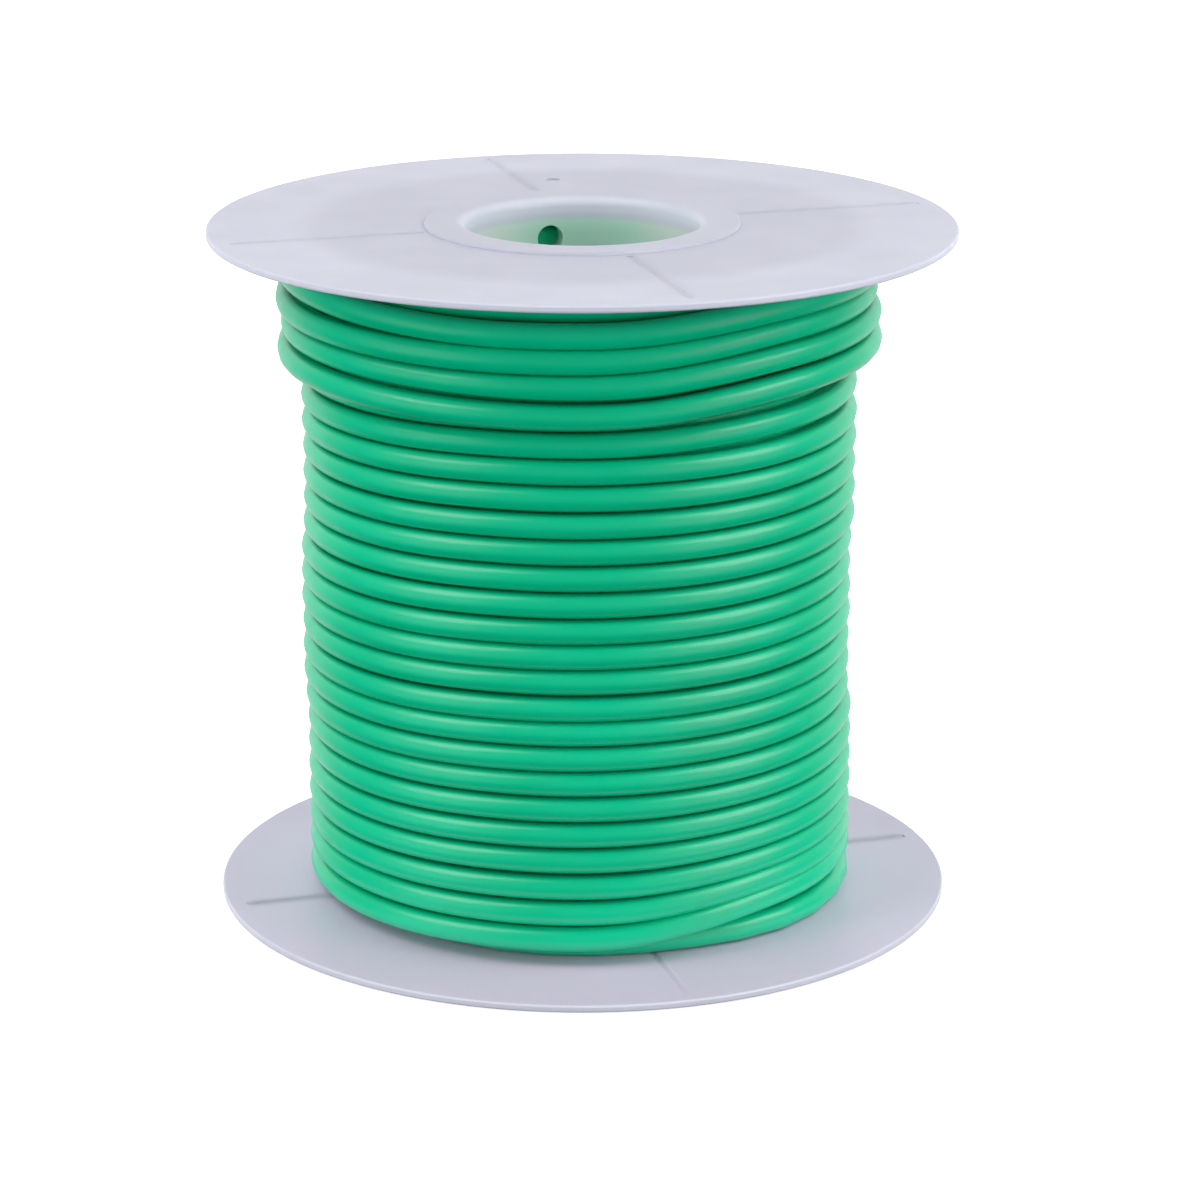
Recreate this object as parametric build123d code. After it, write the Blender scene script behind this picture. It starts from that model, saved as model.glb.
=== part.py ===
from build123d import *
import os
from math import cos, pi, radians, sin

# Wire spool: a flange with a push-in sleeve at each end of a thin barrel, wound with green insulated wire.
# Millimetres, +Z up along the spool's axis, origin at the centre of the underside.

# Spool
OVERALL_HEIGHT = 74.8
FLANGE_RADIUS = 40.0
PLATE_THICKNESS = 0.8
RELIEF = 0.35  # how far the hub boss stands proud of the flange's outer face
BOSS_RADIUS = 16.9
BORE_RADIUS = 12.5
BARREL_RADIUS = 14.6
SLEEVE_RADIUS = 13.5  # outside of the flange's sleeve and of the barrel's counterbore
SLEEVE_DEPTH = 9.0
MOUTH_ROUNDING = 1.0
RIM_ROUNDING = 0.25
STEP_ROUNDING = 0.3

# Radial lines moulded in both faces of each flange, as shallow round-bottomed grooves
LINE_COUNT = 4
LINE_WIDTH = 1.0
LINE_DEPTH = 0.18
LINE_MARGIN = 1.8  # how far the lines stop short of the rim
LINE_BACK = 106.5  # azimuth in degrees of the line at the back, above the start hole
GATE_RADIUS = 0.9  # dimple left by the moulding gate
GATE_DEPTH = 0.25
GATE_DISTANCE = 24.4
GATE_AZIMUTH = 98.0

# Hole through barrel and sleeve near each end, for anchoring the start of the wire
START_HOLE_DIAMETER = 2.9
START_HOLE_INSET = 4.55

# Wire: 2 mm2 stranded copper in thin-wall insulation
WIRE_DIAMETER = 2.7
STRAND_DIAMETER = 0.36
STRAND_PITCH = 0.37
STRAND_RINGS = 2
JACKET_BORE = 1.9
WINDING_RADIUS = 29.85  # outside of the six full layers
PARTIAL_LAYER_RADIUS = 32.4  # outside of the short seventh layer under the top flange
PARTIAL_LAYER_BASE = 62.94
CORNER_ROUNDING = 1.2
LAST_TURN_START = 125.0  # azimuths in degrees, counted anticlockwise from above
LAST_TURN_SWEEP = 320.0
CONTACT_GAP = 0.02
STRIP_DEPTH = 4.0  # how far the open jacket end is modelled hollow
STRAND_STICKOUT = 0.6

flange_thickness = PLATE_THICKNESS + RELIEF
barrel_length = OVERALL_HEIGHT - 2 * flange_thickness
axis_at_back_line = Axis(
    (0, 0, OVERALL_HEIGHT / 2),
    (cos(radians(LINE_BACK)), sin(radians(LINE_BACK)), 0),
)


def tube(outer_radius, inner_radius, low_z, high_z):
    """Upright tube on the spool's axis."""
    height = high_z - low_z
    outside = Cylinder(outer_radius, height)
    inside = Cylinder(inner_radius, height)
    return Pos(0, 0, low_z + height / 2) * (outside - inside)


def circular_edges(solid, radius, z):
    """The solid's round edges of one radius at one height."""
    return [
        edge
        for edge in solid.edges().filter_by(GeomType.CIRCLE)
        if abs(edge.radius - radius) < 0.01 and abs(edge.center().Z - z) < 0.01
    ]


def start_hole(z):
    """Drill for the anchoring hole, pointing out along the back line."""
    drill = Cylinder(START_HOLE_DIAMETER / 2, BARREL_RADIUS)
    return Pos(0, 0, z) * Rot(0, 0, LINE_BACK) * Pos(BARREL_RADIUS, 0, 0) * Rot(0, 90, 0) * drill


def radial_lines(inner_radius, face_z, outward):
    """Cutters for the radial lines in the face at one height, which looks up (1) or down (-1)."""
    outer_radius = FLANGE_RADIUS - LINE_MARGIN
    cutter_radius = (LINE_WIDTH**2 / 4 + LINE_DEPTH**2) / (2 * LINE_DEPTH)
    height = face_z + outward * (cutter_radius - LINE_DEPTH)
    bar = Rot(0, 90, 0) * Cylinder(cutter_radius, outer_radius - inner_radius)
    placed = Pos((inner_radius + outer_radius) / 2, 0, height) * bar
    step = 360 / LINE_COUNT
    return [Rot(0, 0, LINE_BACK + step * number) * placed for number in range(LINE_COUNT)]


def flange():
    """Bottom flange: thin disc with a boss outside and a sleeve inside."""
    outline = Polyline(
        (BORE_RADIUS, 0),
        (BOSS_RADIUS, 0),
        (BOSS_RADIUS, RELIEF),
        (FLANGE_RADIUS, RELIEF),
        (FLANGE_RADIUS, flange_thickness),
        (SLEEVE_RADIUS, flange_thickness),
        (SLEEVE_RADIUS, flange_thickness + SLEEVE_DEPTH),
        (BORE_RADIUS, flange_thickness + SLEEVE_DEPTH),
        close=True,
    )
    section = Plane.XZ * make_face(outline)
    body = revolve(section, Axis.Z)
    body = fillet(circular_edges(body, BORE_RADIUS, 0), MOUTH_ROUNDING)
    rim = circular_edges(body, FLANGE_RADIUS, RELIEF) + circular_edges(body, FLANGE_RADIUS, flange_thickness)
    body = fillet(rim, RIM_ROUNDING)
    body = fillet(circular_edges(body, BOSS_RADIUS, 0), STEP_ROUNDING)
    cutters = radial_lines(BOSS_RADIUS + LINE_WIDTH / 2, RELIEF, -1)
    cutters += radial_lines(BARREL_RADIUS + LINE_WIDTH / 2, flange_thickness, 1)
    for cutter in cutters:
        body -= cutter
    # The gate mark is mirrored about the back line, so that it comes right on the turned-over flange.
    gate = Pos(GATE_DISTANCE, 0, RELIEF) * Cylinder(GATE_RADIUS, 2 * GATE_DEPTH)
    body -= Rot(0, 0, 2 * LINE_BACK - GATE_AZIMUTH) * gate
    return body - start_hole(START_HOLE_INSET)


def barrel():
    """Tube between the flanges, counterbored at both ends for their sleeves."""
    low = flange_thickness
    high = flange_thickness + barrel_length
    body = tube(BARREL_RADIUS, BORE_RADIUS, low, high)
    body -= tube(SLEEVE_RADIUS, BORE_RADIUS - 1, low, low + SLEEVE_DEPTH)
    body -= tube(SLEEVE_RADIUS, BORE_RADIUS - 1, high - SLEEVE_DEPTH, high)
    for z in (START_HOLE_INSET, OVERALL_HEIGHT - START_HOLE_INSET):
        body -= start_hole(z)
    return body


def winding():
    """Outer shape of the wound layers, with the short top layer as a step."""
    low = flange_thickness
    high = flange_thickness + barrel_length
    body = tube(WINDING_RADIUS, BARREL_RADIUS, low, high)
    body += tube(PARTIAL_LAYER_RADIUS, BARREL_RADIUS, PARTIAL_LAYER_BASE, high)
    corners = circular_edges(body, WINDING_RADIUS, low) + circular_edges(body, PARTIAL_LAYER_RADIUS, high)
    return fillet(corners, CORNER_ROUNDING)


last_turn_radius = WINDING_RADIUS + WIRE_DIAMETER / 2 + CONTACT_GAP
last_turn_z = PARTIAL_LAYER_BASE - WIRE_DIAMETER / 2 - CONTACT_GAP
last_turn_end = Rot(0, 0, LAST_TURN_START + LAST_TURN_SWEEP) * Pos(last_turn_radius, 0, last_turn_z)


def last_turn():
    """The turn under the seventh layer, ending in an open cut jacket."""
    section = Plane.XZ * Pos(last_turn_radius, last_turn_z) * Circle(WIRE_DIAMETER / 2)
    body = Rot(0, 0, LAST_TURN_START) * revolve(section, Axis.Z, LAST_TURN_SWEEP)
    bore = Cylinder(JACKET_BORE / 2, 2 * STRIP_DEPTH)
    return body - last_turn_end * Rot(90, 0, 0) * bore


def strand_centres():
    """One strand in the middle and hexagonal rings around it."""
    centres = [(0.0, 0.0)]
    for ring in range(1, STRAND_RINGS + 1):
        for side in range(6):
            corner = radians(60 * side)
            next_way = radians(60 * side + 120)
            for place in range(ring):
                x = STRAND_PITCH * (ring * cos(corner) + place * cos(next_way))
                y = STRAND_PITCH * (ring * sin(corner) + place * sin(next_way))
                centres.append((x, y))
    return centres


def end_strands():
    """Copper strands showing at the cut end, as one group of separate solids."""
    length = STRIP_DEPTH + STRAND_STICKOUT
    middle = (STRAND_STICKOUT - STRIP_DEPTH) / 2
    strand = Cylinder(STRAND_DIAMETER / 2, length)
    placed = [Pos(x, y, -middle) * strand for x, y in strand_centres()]
    return last_turn_end * Rot(90, 0, 0) * Compound(children=placed)


bottom_flange = flange()
parts = {
    "bottom_flange": bottom_flange,
    "top_flange": bottom_flange.rotate(axis_at_back_line, 180),
    "barrel": barrel(),
    "wire_winding": winding(),
    "wire_last_turn": last_turn(),
    "wire_end_strands": end_strands(),
}

os.makedirs("parts", exist_ok=True)
for name, shape in parts.items():
    export_step(shape, f"parts/{name}.step")

arc = radians(LAST_TURN_SWEEP) * last_turn_radius
expected = pi * (WIRE_DIAMETER / 2) ** 2 * arc - pi * (JACKET_BORE / 2) ** 2 * STRIP_DEPTH
print("last turn: radius", round(last_turn_radius, 2), "length", round(arc, 1))
print("last turn: volume", round(parts["wire_last_turn"].volume, 1), "expected", round(expected, 1))
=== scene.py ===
import math
import random

import bpy
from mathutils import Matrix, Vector


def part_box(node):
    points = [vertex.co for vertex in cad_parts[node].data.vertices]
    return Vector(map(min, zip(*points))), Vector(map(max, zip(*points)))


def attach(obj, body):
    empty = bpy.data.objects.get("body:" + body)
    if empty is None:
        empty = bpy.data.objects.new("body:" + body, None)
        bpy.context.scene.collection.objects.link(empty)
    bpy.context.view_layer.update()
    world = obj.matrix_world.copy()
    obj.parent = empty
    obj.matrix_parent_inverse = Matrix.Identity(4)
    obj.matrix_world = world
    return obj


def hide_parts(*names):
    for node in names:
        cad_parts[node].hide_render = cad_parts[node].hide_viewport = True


# Wire spool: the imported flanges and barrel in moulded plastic, wound with one continuous green wire.

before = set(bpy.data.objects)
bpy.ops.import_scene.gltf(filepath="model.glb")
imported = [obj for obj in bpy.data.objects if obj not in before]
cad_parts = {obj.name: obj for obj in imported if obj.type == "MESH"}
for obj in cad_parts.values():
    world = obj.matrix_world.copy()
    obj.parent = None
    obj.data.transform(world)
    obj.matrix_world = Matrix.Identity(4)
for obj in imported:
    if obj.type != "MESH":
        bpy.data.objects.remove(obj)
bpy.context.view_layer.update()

# ---------------------------------------------------------------- sizes, in metres
MM = 0.001
winding_low, winding_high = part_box("wire_winding")
flange_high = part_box("top_flange")[1]
BASE_Z = winding_low.z
TOP_Z = winding_high.z
HEIGHT = flange_high.z
FLANGE_R = flange_high.x
BARREL_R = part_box("barrel")[1].x
BORE_R = 12.5 * MM
BOSS_R = 16.9 * MM
HOLE_AZIMUTH = math.radians(106.5)  # of the start holes and of one moulded line

WIRE = 2.7 * MM
HALF = WIRE / 2
JACKET_BORE = 1.9 * MM
WIRE_SIDES = 14
STRAND = 0.36 * MM
STRAND_PITCH = 0.372 * MM
STRAND_RINGS = 2
STRAND_SIDES = 10
STRAND_TWIST = 0.14  # radians per millimetre

# ---------------------------------------------------------------- the winding
TURNS = 25  # in each full layer
LAYERS = 6
TOP_TURNS = 4  # in the short seventh layer, under the top flange
PITCH = 2.812 * MM
FIRST_R = BARREL_R + HALF
LAYER_STEP = (winding_high.x - HALF - FIRST_R) / LAYERS
POINTS = 24  # control points per turn
INNER_STRIDE = 5  # of the points read along the route, one in so many is used in the hidden layers
FIFTH_STRIDE = 3  # and one in so many in the layer under the outermost full one

# Azimuths in degrees, anticlockwise from above, with the middle of the front at 270
START = 94.5  # the wire's start, just short of the start hole
END = 85.0  # its cut end, at the back
FRONT = 275.0  # where each turn begins

# How far past its beginning, in degrees, a turn does these things
STEP_FROM = 160.0  # it starts to step to the next turn's height
STEP_TO = 335.0
TOP_STEP_TO = 275.0  # the same in the seventh layer
CLIMB_FROM = 12.0  # the last turn of a layer starts to climb to the next layer
CLIMB_SWEEP = 40.0
LIFT_SWEEP = 36.0  # it has risen by its lift
SINK_SWEEP = 40.0  # it has sunk to its depth
SAG_SWEEP = 75.0  # its sag across the front has ended

# Irregularities of the outermost layers, in millimetres, with heights above the winding's foot
SETTLED = (0.8, 0.45, 0.25, 0.3)  # how low each turn of the seventh layer lies
SUNK = (0.0, 0.45, 0.0, 0.0)  # how deep it lies
SAG = (0.0, 0.15, 0.2, 0.4)  # how much lower still it hangs across the front
DRIFT = 0.45  # how high the turns round DRIFT_HEIGHT lie
DRIFT_HEIGHT = 17.0
DRIFT_SPREAD = 11.0
WANDER = 0.10  # how far a turn may stray up or down between the ends
WANDER_LOW = (0.0, 4.0)  # the strays fade in and out over these heights
WANDER_HIGH = (56.0, 44.0)
WANDER_OUT = 0.05  # how far a turn may stray in or out
FOOT_LIFT = 1.9  # how much the lowest turns rise to the right of the front
FOOT_LIFT_FROM = 3.0
FOOT_LIFT_FADE = 5.0
HEAD_LIFT = 1.3  # how much the highest turns do
HEAD_LIFT_OVER = (53.0, 61.0)
LEAN = 0.35  # how far the outer turns lie to the left
WAIST_LEAN = 0.35  # how much further they do at the waist
WAIST_LOW = (22.0, 24.0)  # heights above the floor over which the waist begins and ends
WAIST_HIGH = (43.0, 40.0)


def smooth(t):
    t = min(max(t, 0.0), 1.0)
    return t * t * (3 - 2 * t)


def ramp(value, low, high):
    return min(max((value - low) / (high - low), 0.0), 1.0)


def ramp_mm(value, limits):
    """Ramp over a pair of limits in millimetres."""
    return ramp(value, limits[0] * MM, limits[1] * MM)


random.seed(7)
wander = [random.uniform(-1, 1) for _ in range(TURNS * LAYERS + TOP_TURNS + 2)]


def turn_place(number):
    """Layer, height and right-hand lift of one turn where it begins."""
    layer = min(number // TURNS, LAYERS)
    place = number - layer * TURNS
    if layer % 2 == 0:
        z = BASE_Z + (TURNS - 0.5 - place) * PITCH
    else:
        z = BASE_Z + (1 + place) * PITCH
    if layer == LAYERS:
        z -= SETTLED[place] * MM
    lift = 0.0
    if layer >= LAYERS - 1:
        above = z - BASE_Z
        z += DRIFT * MM * math.exp(-(((above / MM - DRIFT_HEIGHT) / DRIFT_SPREAD) ** 2))
        z += WANDER * MM * wander[number] * ramp_mm(above, WANDER_LOW) * ramp_mm(above, WANDER_HIGH)
        lift = FOOT_LIFT * MM * math.exp(-max(above / MM - FOOT_LIFT_FROM, 0) / FOOT_LIFT_FADE)
        lift += HEAD_LIFT * MM * smooth(ramp_mm(above, HEAD_LIFT_OVER))
        lift = min(lift, TOP_Z - HALF - z)
    return layer, z, lift


def wire_point(angle):
    """Where the wire's centre is after turning to this total azimuth, in degrees."""
    number = math.floor((angle - FRONT) / 360)
    past = angle - FRONT - 360 * number
    here = max(number, 0)
    onward = min(number + 1, TURNS * LAYERS + TOP_TURNS - 1)
    layer, z, lift = turn_place(here)
    next_layer, next_z, _ = turn_place(onward)

    raised = z + lift * smooth(past / LIFT_SWEEP)
    step = ramp(past, STEP_FROM, TOP_STEP_TO if layer == LAYERS else STEP_TO)
    height = raised + (next_z - raised) * step
    crossing = (here if past < 180 else onward) - TURNS * LAYERS
    if crossing >= 0:
        from_front = min(past, 360 - past)
        height -= SAG[crossing] * MM * smooth((SAG_SWEEP - from_front) / SAG_SWEEP)

    climb = smooth((past - CLIMB_FROM) / CLIMB_SWEEP)
    depth = layer + (next_layer - layer) * climb
    radius = FIRST_R + LAYER_STEP * depth
    azimuth = math.radians(angle)
    outer = smooth(depth - (LAYERS - 2))
    lean = LEAN + WAIST_LEAN * ramp_mm(height, WAIST_LOW) * ramp_mm(height, WAIST_HIGH)
    radius += outer * MM * (lean * math.cos(azimuth - math.pi) + WANDER_OUT * wander[here])
    if layer == LAYERS:
        sunk = smooth(past / SINK_SWEEP) * smooth((360 - past) / SINK_SWEEP)
        radius -= SUNK[here - TURNS * LAYERS] * MM * sunk
    return Vector((radius * math.cos(azimuth), radius * math.sin(azimuth), height))


def wound_path():
    """Points along the wire's NURBS spline, thinned out in the layers that don't show."""
    turned = 360.0 * (TURNS * LAYERS + TOP_TURNS) + END - START
    last = round(turned / 360 * POINTS)
    curve = bpy.data.curves.new("wire_route", "CURVE")
    curve.dimensions = "3D"
    curve.resolution_u = 4
    spline = curve.splines.new("NURBS")
    spline.points.add(last)
    # The spline touches the middle of each run between two control points, so those lie further out.
    inset = math.cos(math.pi / POINTS)
    for index in range(last + 1):
        point = wire_point(START + turned * index / last)
        spline.points[index].co = (point.x / inset, point.y / inset, point.z, 1.0)
    spline.order_u = 3
    spline.use_endpoint_u = True
    route = bpy.data.objects.new("wire_route", curve)
    route_mesh = bpy.data.meshes.new_from_object(route)
    points = [vertex.co.copy() for vertex in route_mesh.vertices]
    bpy.data.meshes.remove(route_mesh)
    bpy.data.objects.remove(route)

    per_turn = len(points) / (turned / 360)
    inner_end = int(per_turn * TURNS * (LAYERS - 2))
    outer_start = int(per_turn * TURNS * (LAYERS - 1))
    thinned = points[:inner_end:INNER_STRIDE] + points[inner_end:outer_start:FIFTH_STRIDE]
    return thinned + points[outer_start:]


def path_axes(points):
    """Tangent and two cross directions at each point of a path round the axis."""
    made = []
    for index, point in enumerate(points):
        before = points[max(index - 1, 0)]
        after = points[min(index + 1, len(points) - 1)]
        along = (after - before).normalized()
        out = Vector((point.x, point.y, 0)).normalized()
        out = (out - along * out.dot(along)).normalized()
        made.append((along, out, along.cross(out)))
    return made


def ring_points(centre, axes, radius, sides, shift=0.0):
    """Points of a ring square to the path, moved along it by the shift."""
    along, out, side = axes
    points = []
    for number in range(sides):
        turn = 2 * math.pi * number / sides
        cross = out * math.cos(turn) + side * math.sin(turn)
        points.append(centre + along * shift + cross * radius)
    return points


def tube_faces(rows, sides, first):
    """Faces of a tube with closed ends through rings of points, counted from the first."""
    faces = []
    for row in range(rows - 1):
        for number in range(sides):
            a = first + row * sides + number
            b = first + row * sides + (number + 1) % sides
            faces.append((a, b, b + sides, a + sides))
    faces.append(tuple(range(first + sides - 1, first - 1, -1)))
    last = first + (rows - 1) * sides
    faces.append(tuple(range(last, last + sides)))
    return faces


def mesh_piece(name, vertices, faces):
    """Smooth-shaded mesh object in the scene."""
    mesh = bpy.data.meshes.new(name)
    mesh.from_pydata(vertices, [], faces)
    mesh.update()
    for polygon in mesh.polygons:
        polygon.use_smooth = True
    piece = bpy.data.objects.new(name, mesh)
    bpy.context.scene.collection.objects.link(piece)
    return piece


def wire_jacket(centres, axes):
    """The whole wire as one tube, which turns in at the cut end and lines a short open bore."""
    rings = [ring_points(c, a, HALF, WIRE_SIDES) for c, a in zip(centres, axes)]
    rings[0] = ring_points(centres[0], axes[0], HALF * 0.94, WIRE_SIDES)
    lip = ((HALF * 0.97, 0.04 * MM), (JACKET_BORE / 2, 0.02 * MM))
    for radius, shift in lip:
        rings.append(ring_points(centres[-1], axes[-1], radius, WIRE_SIDES, shift))
    for back in (-2, -3, -4):
        rings.append(ring_points(centres[back], axes[back], JACKET_BORE / 2, WIRE_SIDES))
    vertices = [point for ring in rings for point in ring]
    return mesh_piece("green_wire", vertices, tube_faces(len(rings), WIRE_SIDES, 0))


def strand_offsets():
    """One strand in the middle and hexagonal rings around it."""
    places = [(0.0, 0.0)]
    for ring in range(1, STRAND_RINGS + 1):
        for side in range(6):
            corner = math.radians(60 * side)
            onward = math.radians(60 * side + 120)
            for place in range(ring):
                x = STRAND_PITCH * (ring * math.cos(corner) + place * math.cos(onward))
                y = STRAND_PITCH * (ring * math.sin(corner) + place * math.sin(onward))
                places.append((x, y))
    return places


def copper_end(end, axes):
    """Twisted copper strands that stand out of the cut jacket by uneven lengths."""
    random.seed(11)
    along, out, side = axes
    vertices, faces = [], []
    for x, y in strand_offsets():
        stick = (0.35 + 0.3 * random.random()) * MM
        # Distance along the strand and share of its full radius
        outline = [(-1.0 * MM, 1.0), (stick - 0.05 * MM, 1.0), (stick - 0.015 * MM, 0.9), (stick, 0.6)]
        faces += tube_faces(len(outline), STRAND_SIDES, len(vertices))
        for distance, share in outline:
            twist = STRAND_TWIST * distance / MM
            across = x * math.cos(twist) - y * math.sin(twist)
            up = x * math.sin(twist) + y * math.cos(twist)
            centre = end + along * distance + out * across + side * up
            vertices += ring_points(centre, axes, STRAND / 2 * share, STRAND_SIDES)
    return mesh_piece("copper_strands", vertices, faces)


centres = wound_path()
cross_axes = path_axes(centres)
wire = wire_jacket(centres, cross_axes)
copper = copper_end(centres[-1], cross_axes[-1])


# ---------------------------------------------------------------- shader nodes
def new_material(name):
    material = bpy.data.materials.new(name)
    material.use_nodes = True
    tree = material.node_tree
    return material, tree, tree.nodes["Principled BSDF"]


def node(tree, kind, **values):
    made = tree.nodes.new(kind)
    for key, value in values.items():
        setattr(made, key, value)
    return made


def feed(tree, socket, value):
    """Set a socket to a number or colour, or link it to another node's output."""
    if isinstance(value, (int, float)):
        socket.default_value = value
    elif isinstance(value, tuple):
        socket.default_value = (*value, 1.0)
    else:
        tree.links.new(value, socket)


def maths(tree, operation, *values):
    made = node(tree, "ShaderNodeMath", operation=operation)
    for socket, value in zip(made.inputs, values):
        feed(tree, socket, value)
    return made.outputs[0]


def product(tree, first, *others):
    for other in others:
        first = maths(tree, "MULTIPLY", first, other)
    return first


def size_of(tree, value):
    return maths(tree, "ABSOLUTE", value)


def noise(tree, vector, scale, detail=3.0, roughness=0.5):
    made = node(tree, "ShaderNodeTexNoise")
    made.inputs["Scale"].default_value = scale
    made.inputs["Detail"].default_value = detail
    made.inputs["Roughness"].default_value = roughness
    tree.links.new(vector, made.inputs["Vector"])
    return made.outputs["Fac"]


def fade(tree, value, low, high, out_low=0.0, out_high=1.0):
    """Smooth change from one output to the other as the value goes from low to high."""
    made = node(tree, "ShaderNodeMapRange", interpolation_type="SMOOTHSTEP")
    made.inputs["From Min"].default_value = low
    made.inputs["From Max"].default_value = high
    made.inputs["To Min"].default_value = out_low
    made.inputs["To Max"].default_value = out_high
    tree.links.new(value, made.inputs["Value"])
    return made.outputs["Result"]


def mix_colour(tree, factor, first, second):
    made = node(tree, "ShaderNodeMix", data_type="RGBA")
    for socket, value in ((made.inputs[0], factor), (made.inputs[6], first), (made.inputs[7], second)):
        feed(tree, socket, value)
    return made.outputs[2]


def bump(tree, height, strength, distance):
    made = node(tree, "ShaderNodeBump")
    made.inputs["Strength"].default_value = strength
    made.inputs["Distance"].default_value = distance
    tree.links.new(height, made.inputs["Height"])
    return made.outputs["Normal"]


def place_of(tree):
    """Place on the object, whose origin is the spool's."""
    return node(tree, "ShaderNodeTexCoord").outputs["Object"]


def parts_of(tree, vector):
    split = node(tree, "ShaderNodeSeparateXYZ")
    tree.links.new(vector, split.inputs[0])
    return tuple(split.outputs)


def from_axis(tree, x, y):
    """Distance from the spool's axis."""
    squares = maths(tree, "ADD", product(tree, x, x), product(tree, y, y))
    return maths(tree, "SQRT", squares)


# ---------------------------------------------------------------- spool plastic
def moulded_lines(tree, x, y, radius):
    """Distance-based mask of the four radial lines in each face of a flange."""
    cosine, sine = math.cos(HOLE_AZIMUTH), math.sin(HOLE_AZIMUTH)
    along = maths(tree, "ADD", product(tree, x, cosine), product(tree, y, sine))
    across = maths(tree, "SUBTRACT", product(tree, y, cosine), product(tree, x, sine))
    nearest = maths(tree, "MINIMUM", size_of(tree, along), size_of(tree, across))
    return product(
        tree,
        fade(tree, nearest, 1.5 * MM, 0.2 * MM),
        fade(tree, radius, BOSS_R + 0.1 * MM, BOSS_R + 1.1 * MM),
        fade(tree, radius, FLANGE_R - 1.6 * MM, FLANGE_R - 3 * MM),
    )


def flange_colour(tree, place, x, y, z, radius):
    cloud = fade(tree, noise(tree, place, 55, 4.0, 0.55), 0.35, 0.7)
    colour = mix_colour(tree, cloud, (0.66, 0.67, 0.785), (0.70, 0.71, 0.83))
    # Painted shade: the flange is a little darker where the wound wire lies behind it.
    painted_wire_shadow = fade(tree, radius, 32 * MM, 27 * MM)
    colour = mix_colour(tree, painted_wire_shadow, colour, (0.60, 0.61, 0.715))
    # Painted shade, with some dust, darkens the moulded lines, more on the bottom flange than on the
    # top.
    groove = moulded_lines(tree, x, y, radius)
    shade = fade(tree, z, 20 * MM, 50 * MM, 0.45, 0.16)
    colour = mix_colour(tree, product(tree, groove, shade), colour, (0.42, 0.42, 0.50))
    # Painted light on the faces of the bottom flange: lighter and more lavender than the plastic, to
    # make up for the shade there and offset the green light bounced off the wire, with painted shade
    # deeper towards the front.
    painted_bottom_light = mix_colour(tree, fade(tree, y, -12 * MM, -34 * MM), (0.86, 0.73, 0.96), (0.74, 0.61, 0.79))
    # Painted shade darkens the moulded lines of these faces towards the sides.
    sideways = fade(tree, size_of(tree, x), 12 * MM, 24 * MM, 0.0, 0.5)
    painted_bottom_light = mix_colour(tree, product(tree, groove, sideways), painted_bottom_light, (0.45, 0.42, 0.52))
    short_of_rim = fade(tree, radius, FLANGE_R - 0.1 * MM, FLANGE_R - 0.4 * MM)
    face = product(tree, fade(tree, z, 3 * MM, 1.5 * MM), short_of_rim)
    return mix_colour(tree, face, colour, painted_bottom_light)


def bore_colour(tree, x, z, radius, colour):
    """The given colour, with light painted on in the bore, where the wall is thin."""
    # Painted light: the rounded mouth is made lighter.
    mouth = fade(tree, z, HEIGHT - 2.6 * MM, HEIGHT - 1.2 * MM)
    mouth = product(tree, mouth, fade(tree, radius, BORE_R + 1.1 * MM, BORE_R + 0.1 * MM))
    colour = mix_colour(tree, mouth, colour, (0.72, 0.75, 0.85))
    # Further in, painted green stands in for the turns showing through the wall, and the sides are
    # paler, a painted reflection.
    ripple = maths(tree, "SINE", product(tree, z, 2 * math.pi / PITCH))
    ripple = maths(tree, "MULTIPLY_ADD", ripple, 0.5, 0.5)
    green = mix_colour(tree, ripple, (0.53, 0.82, 0.69), (0.485, 0.79, 0.645))
    painted_side_reflection = fade(tree, size_of(tree, x), 4 * MM, 11 * MM)
    green = mix_colour(tree, painted_side_reflection, green, (0.67, 0.75, 0.715))
    through = product(
        tree,
        fade(tree, z, 1.7 * MM, 2.9 * MM),
        fade(tree, z, HEIGHT - 1.7 * MM, HEIGHT - 2.9 * MM),
        fade(tree, radius, BARREL_R + 0.6 * MM, BARREL_R + 0.2 * MM),
    )
    return mix_colour(tree, through, colour, green)


def spool_plastic():
    material, tree, shader = new_material("natural_plastic")
    place = place_of(tree)
    x, y, z = parts_of(tree, place)
    radius = from_axis(tree, x, y)
    colour = flange_colour(tree, place, x, y, z, radius)
    tree.links.new(bore_colour(tree, x, z, radius, colour), shader.inputs["Base Color"])
    fine_grain = noise(tree, place, 2400, 2.0)
    waves = noise(tree, place, 120, 2.0)
    tree.links.new(fade(tree, waves, 0.3, 0.7, 0.38, 0.5), shader.inputs["Roughness"])
    height = maths(tree, "ADD", product(tree, fine_grain, 0.25), waves)
    tree.links.new(bump(tree, height, 0.12, 0.12 * MM), shader.inputs["Normal"])
    shader.inputs["IOR"].default_value = 1.49
    shader.inputs["Subsurface Weight"].default_value = 0.25
    shader.inputs["Subsurface Radius"].default_value = (1.0, 1.0, 1.1)
    shader.inputs["Subsurface Scale"].default_value = 0.8 * MM
    return material


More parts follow.
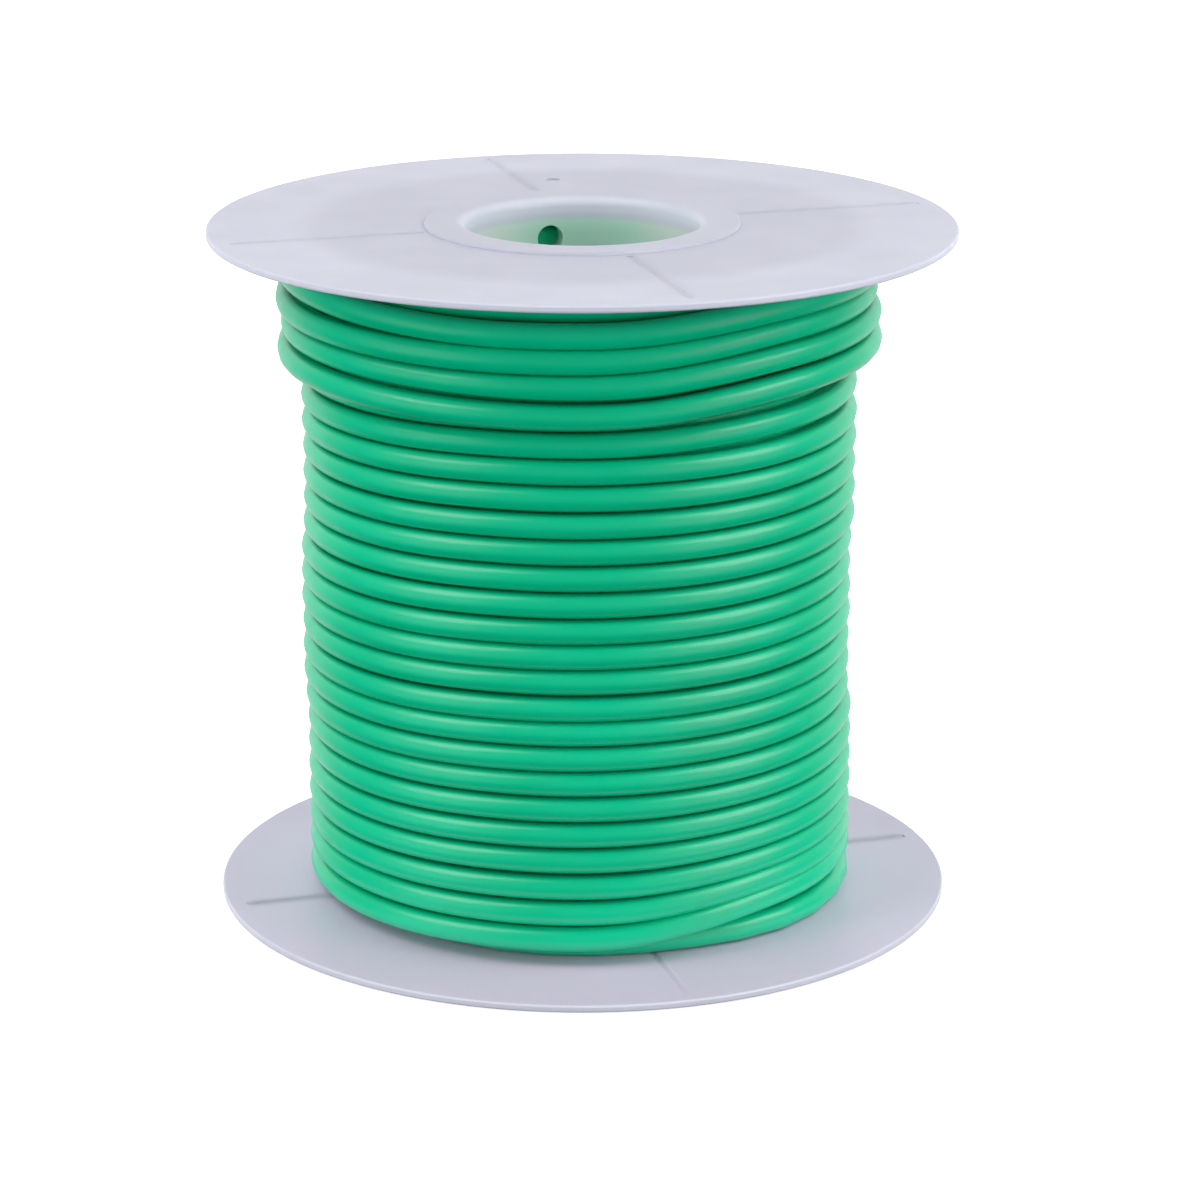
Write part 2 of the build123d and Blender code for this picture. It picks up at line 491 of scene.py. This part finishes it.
# ---------------------------------------------------------------- wire
def furrow_shade_mask(tree, place):
    """Where painted shade goes, where little light reaches: low between two turns that lie side by
    side.
    """
    x, y, z = parts_of(tree, place)
    waist = product(
        tree,
        fade(tree, z, WAIST_LOW[0] * MM, WAIST_LOW[1] * MM),
        fade(tree, z, WAIST_HIGH[0] * MM, WAIST_HIGH[1] * MM),
    )
    lean = maths(tree, "MULTIPLY_ADD", waist, WAIST_LEAN * MM, LEAN * MM)
    radius = from_axis(tree, maths(tree, "ADD", x, lean), y)
    layers_deep = product(tree, maths(tree, "SUBTRACT", radius, FIRST_R), 1 / LAYER_STEP)
    # Not where the wire climbs from one layer to the next, at the ends.
    return product(
        tree,
        fade(tree, maths(tree, "FRACT", layers_deep), 0.30, 0.06),
        fade(tree, z, BASE_Z + 5 * MM, BASE_Z + 8 * MM),
        fade(tree, z, TOP_Z - 3 * MM, TOP_Z - 5 * MM),
    )


def jacket_green():
    material, tree, shader = new_material("green_vinyl")
    place = place_of(tree)
    cloud = fade(tree, noise(tree, place, 60, 2.0), 0.35, 0.7)
    colour = mix_colour(tree, cloud, (0.0002, 0.545, 0.27), (0.0005, 0.585, 0.30))
    # Painted shade low between the turns.
    colour = mix_colour(tree, furrow_shade_mask(tree, place), colour, (0.0002, 0.36, 0.175))
    tree.links.new(colour, shader.inputs["Base Color"])
    skin = noise(tree, place, 420, 1.0)
    tree.links.new(fade(tree, skin, 0.3, 0.7, 0.28, 0.34), shader.inputs["Roughness"])
    unevenness = noise(tree, place, 140, 1.0)
    tree.links.new(bump(tree, unevenness, 0.03, 0.10 * MM), shader.inputs["Normal"])
    shader.inputs["IOR"].default_value = 1.62
    return material


def bare_copper():
    material, tree, shader = new_material("copper")
    stain = noise(tree, place_of(tree), 1500, 3.0)
    colour = mix_colour(tree, fade(tree, stain, 0.4, 0.7), (0.80, 0.36, 0.20), (0.55, 0.22, 0.12))
    tree.links.new(colour, shader.inputs["Base Color"])
    tree.links.new(fade(tree, stain, 0.3, 0.7, 0.22, 0.4), shader.inputs["Roughness"])
    shader.inputs["Metallic"].default_value = 1.0
    return material


plastic = spool_plastic()
for name in ("top_flange", "bottom_flange", "barrel"):
    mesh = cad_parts[name].data
    mesh.materials.clear()
    mesh.materials.append(plastic)
wire.data.materials.append(jacket_green())
copper.data.materials.append(bare_copper())

for piece, slot_name, stood_for in (
    (wire, "wire_jacket", ("wire_winding", "wire_last_turn")),
    (copper, "copper", ("wire_end_strands",)),
):
    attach(piece, "root")
    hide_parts(*stood_for)


# ---------------------------------------------------------------- floor, light, camera
def floor_white():
    material, _, shader = new_material("white_floor")
    shader.inputs["Base Color"].default_value = (0.86, 0.86, 0.87, 1)
    shader.inputs["Roughness"].default_value = 0.9
    shader.inputs["Emission Color"].default_value = (1, 1, 1, 1)
    shader.inputs["Emission Strength"].default_value = 0.8
    return material


def studio_floor(reach):
    """Square floor that the spool stands on. Only the camera sees it, so it casts no light or shade."""
    mesh = bpy.data.meshes.new("floor")
    corners = [(-reach, -reach, 0), (reach, -reach, 0), (reach, reach, 0), (-reach, reach, 0)]
    mesh.from_pydata(corners, [], [(0, 1, 2, 3)])
    mesh.materials.append(floor_white())
    floor = bpy.data.objects.new("floor", mesh)
    bpy.context.scene.collection.objects.link(floor)
    floor.visible_glossy = False
    floor.visible_diffuse = False
    floor.visible_shadow = False


def studio_world():
    """White wall behind the object and dark room in front of it."""
    world = bpy.data.worlds.new("studio")
    world.use_nodes = True
    tree = world.node_tree
    background = tree.nodes["Background"]
    direction = node(tree, "ShaderNodeTexCoord").outputs["Generated"]
    wall = fade(tree, parts_of(tree, direction)[1], 0.3, 0.85)
    seen = node(tree, "ShaderNodeLightPath").outputs["Is Camera Ray"]
    tree.links.new(maths(tree, "MAXIMUM", wall, seen), background.inputs["Strength"])
    background.inputs["Color"].default_value = (1, 1, 1, 1)
    bpy.context.scene.world = world


def softbox(name, direction, distance, size, radiance, glossy):
    """Square-on area light of a given radiance, aimed at the middle of the spool."""
    light = bpy.data.lights.new(name, "AREA")
    light.shape = "RECTANGLE"
    light.size, light.size_y = size
    light.energy = radiance * math.pi * size[0] * size[1]
    lamp = bpy.data.objects.new(name, light)
    bpy.context.scene.collection.objects.link(lamp)
    toward = Vector(direction).normalized()
    lamp.location = Vector((0, 0, HEIGHT / 2)) + toward * distance
    lamp.rotation_euler = toward.to_track_quat("Z", "Y").to_euler()
    lamp.visible_glossy = glossy


def studio_camera():
    """Long lens a little above the top flange, looking slightly down from the front."""
    data = bpy.data.cameras.new("camera")
    data.sensor_width = 36.0
    data.sensor_fit = "AUTO"
    data.lens = 125.86
    data.clip_start = 0.01
    data.clip_end = 20.0
    camera = bpy.data.objects.new("camera", data)
    camera.location = (0.027 * FLANGE_R, -10.865 * FLANGE_R, 4.0948 * FLANGE_R)
    camera.rotation_euler = (math.radians(90 - 16.721), 0, 0)
    bpy.context.scene.collection.objects.link(camera)
    bpy.context.scene.camera = camera


studio_floor(3.0)
studio_world()
for setting in (
    ("left_softbox", (-0.59, -0.20, 0.78), 0.9, (0.56, 0.62), 3.3, True),
    ("right_softbox", (0.73, -0.12, 0.66), 0.9, (0.58, 0.62), 3.3, True),
    ("front_fill", (0.0, -0.966, 0.26), 1.2, (1.8, 1.2), 0.35, False),
    ("left_fill", (-0.88, -0.47, 0.08), 1.2, (1.0, 0.9), 3.8, False),
    ("right_fill", (0.88, -0.47, 0.08), 1.2, (1.0, 0.9), 3.8, False),
):
    softbox(*setting)
studio_camera()
bpy.context.scene.view_settings.view_transform = "Standard"
